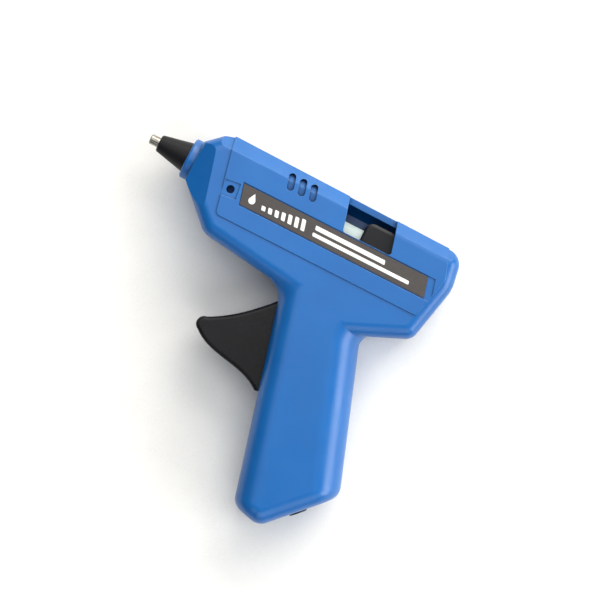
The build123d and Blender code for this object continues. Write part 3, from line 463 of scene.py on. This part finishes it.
@dataclass(frozen=True)
class PrintedFilm:
    """Screen-printed film on its adhesive: satin, with the faint speckle of the ink's mesh."""

    name: str
    colour: str
    speckle: str
    roughness: float
    mesh_mm: float = 0.28  # coarser than the real 0.1 mm screen, so that it shows
    cloud_mm: float = 9.0  # size of its unevenness
    cloud_depth_mm: float = 0.02
    corner_mm: float = 0.06

    def make(self) -> bpy.types.Material:
        """Builds the material.

        Returns:
            The finished material.
        """
        made = bpy.data.materials.new(self.name)
        made.use_nodes = True
        tree = made.node_tree
        shader = tree.nodes["Principled BSDF"]
        place = add(tree, "TexCoord").outputs["Object"]
        dots = add(tree, "TexVoronoi", {"Vector": place, "Scale": per_metre(self.mesh_mm)})
        cloud = add(
            tree, "TexNoise", {"Vector": place, "Scale": per_metre(self.cloud_mm), "Detail": 5.0}
        ).outputs["Fac"]
        uneven = add(tree, "Math", {0: dots.outputs["Distance"], 1: cloud}, operation="MULTIPLY")
        colour = add(tree, "ValToRGB", {"Fac": uneven.outputs["Value"]})
        colour.color_ramp.elements[0].position = 0.12
        colour.color_ramp.elements[0].color = linear(self.colour)
        colour.color_ramp.elements[1].position = 0.55
        colour.color_ramp.elements[1].color = linear(self.speckle)
        corner = add(tree, "Bevel", {"Radius": self.corner_mm * MM}, samples=4).outputs["Normal"]
        raised = {"Height": cloud, "Normal": corner, "Distance": self.cloud_depth_mm * MM}
        skin = add(tree, "Bump", {**raised, "Strength": 1.0})
        limits = {
            "From Min": 0.3,
            "From Max": 0.7,
            "To Min": self.roughness - 0.05,
            "To Max": self.roughness + 0.07,
        }
        rough = add(tree, "MapRange", {"Value": cloud, **limits})
        tree.links.new(colour.outputs["Color"], shader.inputs["Base Color"])
        tree.links.new(rough.outputs["Result"], shader.inputs["Roughness"])
        tree.links.new(skin.outputs["Normal"], shader.inputs["Normal"])
        shader.inputs["IOR"].default_value = 1.5
        return made


# ---------------------------------------------------------------- label graphic
@dataclass
class LabelPrint:
    """White print on the side label: a drop, slanted bars that grow as heat does, and two rules."""

    ink: bpy.types.Material
    ink_thickness: float = 0.02 * MM
    drop_radius: float = 1.25 * MM
    drop_rise: float = 2.7 * MM  # from the drop's centre to its tip
    drop_inset: float = 5.2 * MM  # from the label's front end to the drop's centre
    bar_count: int = 7
    bar_width: float = 1.5 * MM
    bar_pitch: float = 2.6 * MM
    bar_start: float = 9.6 * MM  # from the label's front end
    bar_short: float = 1.6 * MM
    bar_tall: float = 4.0 * MM
    drop_fall: float = 0.6 * MM  # the drop's centre is this far below the label's middle
    rule_start: float = 30.0 * MM
    rule_end: float = 7.0 * MM  # short of the label's rear end
    rule_low: float = 1.3 * MM  # height of the long rule
    rule_high: float = 1.6 * MM  # height of the short rule above it
    rule_rise: float = 2.4 * MM  # from one rule's lower edge to the other's
    rule_share: float = 0.72  # length of the short rule, as a share of the long one's
    corner: float = 0.3 * MM

    def build(self) -> None:
        """Makes every printed shape, on the label's face."""
        low, high = box_of("label")
        self.face = high.z
        self.front = low.x
        self.rear = high.x
        self.middle = (low.y + high.y) / 2
        self.make_drop()
        foot = self.middle - self.bar_tall / 2
        for index in range(self.bar_count):
            share = index / (self.bar_count - 1)
            height = self.bar_short + (self.bar_tall - self.bar_short) * share
            x = self.front + self.bar_start + index * self.bar_pitch
            self.make_bar(f"label_bar_{index + 1}", x, foot, self.bar_width, height)
        start = self.front + self.rule_start
        length = self.rear - self.rule_end - start
        self.make_bar("label_rule_low", start, foot, length, self.rule_low)
        upper = foot + self.rule_rise
        self.make_bar("label_rule_high", start, upper, length * self.rule_share, self.rule_high)

    def make_drop(self) -> None:
        """A round drop whose sides run straight to its tip."""
        clear_selection()
        centre = Vector(
            (
                self.front + self.drop_inset,
                self.middle - self.drop_fall,
                self.face + self.ink_thickness / 2,
            )
        )
        bpy.ops.mesh.primitive_cylinder_add(
            vertices=48, radius=self.drop_radius, depth=self.ink_thickness, location=centre
        )
        tangent = math.acos(self.drop_radius / self.drop_rise)
        reach = self.drop_radius * math.cos(tangent)
        for side in (-1, 1):
            select_where("VERT", lambda v, m: v.co.y > reach + HAIR and v.co.z * side > 0)
            bpy.ops.mesh.merge(type="CENTER")
            select_where(
                "VERT",
                lambda v, m: v.co.y > reach + HAIR and abs(v.co.x) < 10 * HAIR and v.co.z * side > 0,
            )
            top = max(v.co.y for v in bpy.context.object.data.vertices if v.co.z * side > 0)
            bpy.ops.transform.translate(value=(0, self.drop_rise - top, 0))
        settle("label_drop", self.ink, "housing")

    def make_bar(self, name: str, x: float, y: float, width: float, height: float) -> None:
        """A slanted bar with its corners just rounded.

        Args:
            name: The piece's name.
            x: Its lower front corner.
            y: Its lower edge.
            width: Its width along X.
            height: Its height along Y.
        """
        clear_selection()
        centre = (x + width / 2, y + height / 2, self.face + self.ink_thickness / 2)
        size = (width, height, self.ink_thickness)
        bpy.ops.mesh.primitive_cube_add(size=1.0, location=centre, scale=size)
        bpy.ops.object.transform_apply(location=True, rotation=False, scale=True)
        select_where("VERT", lambda v, m: v.co.y > centre[1])
        bpy.ops.transform.translate(value=(-height * math.tan(LEAN), 0, 0))
        select_where("EDGE", lambda e, m: abs((edge_ends(e, m)[0] - edge_ends(e, m)[1]).z) > HAIR)
        bpy.ops.mesh.bevel(offset=self.corner, segments=3, affect="EDGES")
        settle(name, self.ink, "housing")


# ---------------------------------------------------------------- sub-assemblies
@dataclass
class Housing:
    """The two blue shells, the label on them, their screws and the cord gland."""

    def build(self) -> None:
        """Dresses the shells and what is fixed to them, and prints the label."""
        # moulded ABS, glossy satin: highlights painted on its corners, shade painted into its nooks, a soft
        # bloom on its flats
        blue = Moulded(
            "abs_blue_moulded",
            colour="#045aa0",
            drift="#0560a8",
            roughness=0.33,
            spread=0.05,
            ior=1.53,
            corner_mm=0.35,
            seam_mm=0.22,
            nook_shade_colour="#022f5e",
            corner_highlight_colour="#2f86cf",
        ).make()
        dress("left_shell", blue)
        dress("right_shell", blue)
        # polyester film, screen printed: a flat, satin dark brown with a faint speckle
        film = PrintedFilm("polyester_film_printed_brown", "#3b3634", "#4a4542", 0.40).make()
        dress("label", film)
        # screen ink on film: an opaque, slightly duller white that stands just proud
        ink = PrintedFilm("screen_ink_white", "#f4f4f0", "#e4e4de", 0.50).make()
        LabelPrint(ink).build()
        # zinc plate on steel: a soft grey shine with a fine mottle
        zinc = Metal("steel_zinc_plated", "#b9bcc0", "#8f9398", 0.32, Tooling.CAST, mark_mm=0.4).make()
        dress("shell_screws", zinc)
        # soft PVC: dark and dull, with wide highlights
        rubber = Moulded(
            "pvc_black_moulded", "#1a1a1b", "#202021", 0.55, grain_mm=0.5, corner_mm=0.3
        ).make()
        dress("cord_gland", rubber)


@dataclass
class GlueChannel:
    """Nozzle, sleeve, heater and feed sleeve: what the glue passes through."""

    def build(self) -> None:
        """Dresses the channel's parts and the heating element beside them."""
        # nickel plate on turned brass: a warm silver whose highlights break into fine rings
        nickel = Metal("brass_nickel_plated_turned", "#a19d94", "#75716a", 0.24, Tooling.TURNED).make()
        dress("nozzle", nickel)
        # moulded silicone: satin black with a faint grey bloom, and grey highlights painted on its corners
        sleeve = Moulded(
            "silicone_black_moulded",
            colour="#101013",
            drift="#17171a",
            roughness=0.44,
            specular=0.3,
            ior=1.42,
            grain_mm=0.6,
            grain_depth_mm=0.01,
            corner_mm=0.3,
            corner_highlight_colour="#3c3c40",
        ).make()
        dress("nozzle_sleeve", sleeve)
        # die-cast aluminium: pale, matt and grainy
        cast = Metal(
            "aluminium_die_cast", "#b4b6b8", "#8d9092", 0.42, Tooling.CAST, mark_mm=0.5, mark_depth_mm=0.02
        ).make()
        dress("heater_barrel", cast)
        # sintered ceramic: a dry, dull grey
        ceramic = Moulded(
            "barium_titanate_sintered", "#5a5652", "#6a655f", 0.7, ior=1.8, grain_mm=0.2
        ).make()
        dress("ptc_element", ceramic)
        # brass strip: yellow, with a shine drawn out along its length
        brass = Metal("brass_strip_stamped", "#c9a45a", "#a88445", 0.28, Tooling.DRAWN).make()
        dress("contact_plate_upper", brass)
        dress("contact_plate_lower", brass)
        # polyimide film: a glossy amber with sharp edges
        amber = Moulded("polyimide_film_amber", "#b06a14", "#9c5a0e", 0.22, ior=1.7, corner_mm=0.05).make()
        dress("ptc_film", amber)
        # spring steel: grey, with fine bright lines along X
        spring_steel = Metal("spring_steel_drawn", "#a3a5a8", "#7c7f83", 0.3, Tooling.DRAWN).make()
        dress("heater_clip", spring_steel)
        dress("sleeve_clip", spring_steel)
        # white silicone: light goes a little way in, so that it looks soft and waxy
        white = Moulded(
            "silicone_white_moulded",
            colour="#b4c3c3",
            drift="#a9b8b8",
            roughness=0.42,
            ior=1.42,
            subsurface=0.35,
            corner_mm=0.3,
        ).make()
        dress("feed_sleeve", white)


@dataclass
class ReturnCoil:
    """Compression spring between the rib behind the heater and the carriage's lug."""

    turns: int = 9
    wire: float = 0.5 * MM
    sides: int = 10
    steps: int = 28  # segments in a turn
    packed: float = 0.465  # its length at the end of the slide's range, as a share of its free length

    def build(self, finish: bpy.types.Material) -> None:
        """Winds the coil along X by a screw of its wire's section.

        Args:
            finish: The wire's material.
        """
        low, high = box_of("return_spring")
        radius = (high.y - low.y) / 2 - self.wire / 2
        axis_y = (high.y + low.y) / 2
        axis_z = (high.z + low.z) / 2
        length = high.x - low.x
        clear_selection()
        bpy.ops.mesh.primitive_circle_add(
            vertices=self.sides,
            radius=self.wire / 2,
            location=(self.wire / 2, radius, 0),
        )
        bpy.ops.object.transform_apply(location=True, rotation=True, scale=True)
        coil = bpy.context.object
        screw = coil.modifiers.new("wind", "SCREW")
        screw.axis = "X"
        screw.angle = 2 * math.pi
        screw.iterations = self.turns
        screw.screw_offset = (length - self.wire) / self.turns
        screw.steps = screw.render_steps = self.steps
        screw.use_merge_vertices = False
        bpy.ops.object.modifier_apply(modifier=screw.name)
        bpy.ops.object.mode_set(mode="EDIT")
        bpy.ops.mesh.select_all(action="DESELECT")
        bpy.ops.mesh.select_mode(type="EDGE")
        bpy.ops.mesh.select_non_manifold()
        bpy.ops.mesh.fill_holes(sides=self.sides)
        bpy.ops.mesh.select_all(action="SELECT")
        bpy.ops.transform.translate(value=(low.x, axis_y, axis_z))
        piece = settle("return_coil", finish, "housing")
        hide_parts("return_spring")
        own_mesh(piece)


@dataclass
class FeedMechanism:
    """The carriage with its pins and jaw, the return spring and the trigger that drives them."""

    def build(self) -> None:
        """Dresses the moving parts and winds the spring."""
        # moulded nylon: satin black, with a thin grey highlight painted on its corners
        nylon = Moulded(
            "nylon_black_moulded",
            colour="#121316",
            drift="#18191c",
            roughness=0.42,
            specular=0.3,
            grain_mm=0.3,
            corner_mm=0.3,
            corner_highlight_colour="#3a3a3d",
        ).make()
        dress("feed_carriage", nylon)
        # ground steel: nearly a mirror, with very fine lines
        pins = Metal("steel_ground", "#b5b7ba", "#94979a", 0.18, Tooling.DRAWN, mark_mm=0.1).make()
        for node in ("drive_pin", "jaw_pin", "trigger_pin"):
            dress(node, pins)
        # stamped steel: darker and duller than the pins, with an even grain
        jaw = Metal("steel_stamped", "#8f9194", "#75787b", 0.38, Tooling.CAST, mark_mm=0.25).make()
        dress("clamp_jaw", jaw)
        # music wire: bright, with the die's lines
        wire = Metal("music_wire_drawn", "#a9abad", "#85888b", 0.25, Tooling.DRAWN).make()
        ReturnCoil().build(wire)
        # moulded polypropylene: glossier than the nylon, with a slightly waxy black, and grey highlights
        # painted on its corners
        black = Moulded(
            "pp_black_moulded",
            colour="#0d0d0f",
            drift="#131315",
            roughness=0.30,
            specular=0.25,
            spread=0.07,
            ior=1.49,
            grain_mm=0.45,
            grain_depth_mm=0.008,
            corner_mm=0.35,
            corner_highlight_colour="#3b3b3e",
        ).make()
        dress("trigger", black)


@dataclass
class Wiring:
    """The heater's two leads and the caps that join them to the cord."""

    def build(self) -> None:
        """Dresses the leads and caps."""
        # silicone insulation: a dull, even colour, brown on the live lead and blue on the neutral
        skin = {"roughness": 0.5, "grain_mm": 0.4, "corner_mm": 0.1}
        brown = Moulded("silicone_lead_brown", "#5a3520", "#4e2d1a", **skin).make()
        blue = Moulded("silicone_lead_blue", "#2b5da8", "#254f92", **skin).make()
        dress("lead_live", brown)
        dress("lead_neutral", blue)
        # clear nylon: milky and part see-through, with a soft gloss
        clear = Moulded(
            "nylon_clear_moulded", "#e8e8e0", "#dedfd6", 0.28, transmission=0.6, corner_mm=0.2
        ).make()
        dress("crimp_caps", clear)


@dataclass(frozen=True)
class Softbox:
    """Rectangular soft light that faces the gun, placed along the camera's right and up."""

    name: str
    right: float  # from the view's middle
    up: float
    height: float  # above the parting plane
    width: float
    depth: float
    watts: float
    tint: str


@dataclass
class Studio:
    """Camera, floor and lights."""

    view_x: float = 74.3 * MM  # middle of the view
    view_y: float = -27.4 * MM
    field: float = 216 * MM  # width of what the camera sees at the gun
    lens_mm: float = 200.0
    sensor_mm: float = 36.0
    roll: float = math.radians(27.0)  # the gun points up to the left by this
    floor_half: float = 2.0
    floor_gap: float = 0.02 * MM  # below the gun's lowest face
    sky_colour: str = "#e9edf2"
    sky_strength: float = 0.16
    softboxes: tuple[Softbox, ...] = (
        Softbox("overhead", 0.05, 0.42, height=1.0, width=1.3, depth=1.0, watts=7.4, tint="#ffffff"),
        Softbox("key", 0.45, 0.8, height=0.46, width=1.1, depth=0.7, watts=14.0, tint="#fffaf2"),
        Softbox("side", 0.95, -0.3, height=0.42, width=0.9, depth=0.6, watts=9.0, tint="#ffffff"),
        Softbox("fill", 0.05, -0.95, height=0.8, width=1.3, depth=0.9, watts=6.5, tint="#f4f8ff"),
    )

    def spot(self, box: Softbox) -> Vector:
        """Middle of a light, turned from the camera's right and up to the frame's X and Y.

        Args:
            box: The light's place and size.

        Returns:
            Its place in the frame.
        """
        across = Vector((math.cos(self.roll), math.sin(self.roll), 0)) * box.right
        along = Vector((-math.sin(self.roll), math.cos(self.roll), 0)) * box.up
        return Vector((self.view_x, self.view_y, box.height)) + across + along

    def hang(self, box: Softbox) -> None:
        """Adds a light that faces the gun.

        Args:
            box: The light's place, size, power and colour.
        """
        light = bpy.data.lights.new(box.name, "AREA")
        light.shape = "RECTANGLE"
        light.size, light.size_y = box.width, box.depth
        light.energy = box.watts
        light.color = linear(box.tint)[:3]
        lamp = bpy.data.objects.new(box.name, light)
        bpy.context.scene.collection.objects.link(lamp)
        place = self.spot(box)
        lamp.location = place
        aim = Vector((self.view_x, self.view_y, 0)) - place
        lamp.rotation_euler = aim.to_track_quat("-Z", "Y").to_euler()
        lamp.visible_camera = False

    def build(self) -> None:
        """Sets up the camera, the floor and the lights."""
        scene = bpy.context.scene
        scene.view_settings.view_transform = "Standard"
        lens = bpy.data.cameras.new("camera")
        lens.lens = self.lens_mm
        lens.sensor_width = self.sensor_mm
        camera = bpy.data.objects.new("camera", lens)
        scene.collection.objects.link(camera)
        reach = self.field * self.lens_mm / self.sensor_mm
        camera.location = (self.view_x, self.view_y, reach)
        camera.rotation_euler = (0, 0, self.roll)
        lens.clip_start, lens.clip_end = 0.01, 50.0
        scene.camera = camera

        low, high = cad_box
        clear_selection()
        bpy.ops.mesh.primitive_plane_add(
            size=2 * self.floor_half, location=(self.view_x, self.view_y, low.z - self.floor_gap)
        )
        floor = bpy.context.object
        bpy.ops.object.transform_apply(location=True, rotation=True, scale=True)
        floor.name = "floor"
        # matt card: a plain, warm white that barely shines
        paper = PrintedFilm("card_white_matt", "#f1f0ec", "#ecebe6", 0.7, mesh_mm=0.6).make()
        floor.data.materials.append(paper)

        for box in self.softboxes:
            self.hang(box)
        world = bpy.data.worlds.new("studio")
        scene.world = world
        world.use_nodes = True
        sky = world.node_tree.nodes["Background"]
        sky.inputs["Color"].default_value = linear(self.sky_colour)
        sky.inputs["Strength"].default_value = self.sky_strength


def main() -> None:
    """Builds the scene."""
    logging.basicConfig(level=logging.INFO, format="%(name)s: %(message)s")
    Studio().build()
    for part in (Housing(), GlueChannel(), FeedMechanism(), Wiring()):
        part.build()
        log.info("%s done", type(part).__name__)


if __name__ == "__main__":
    main()
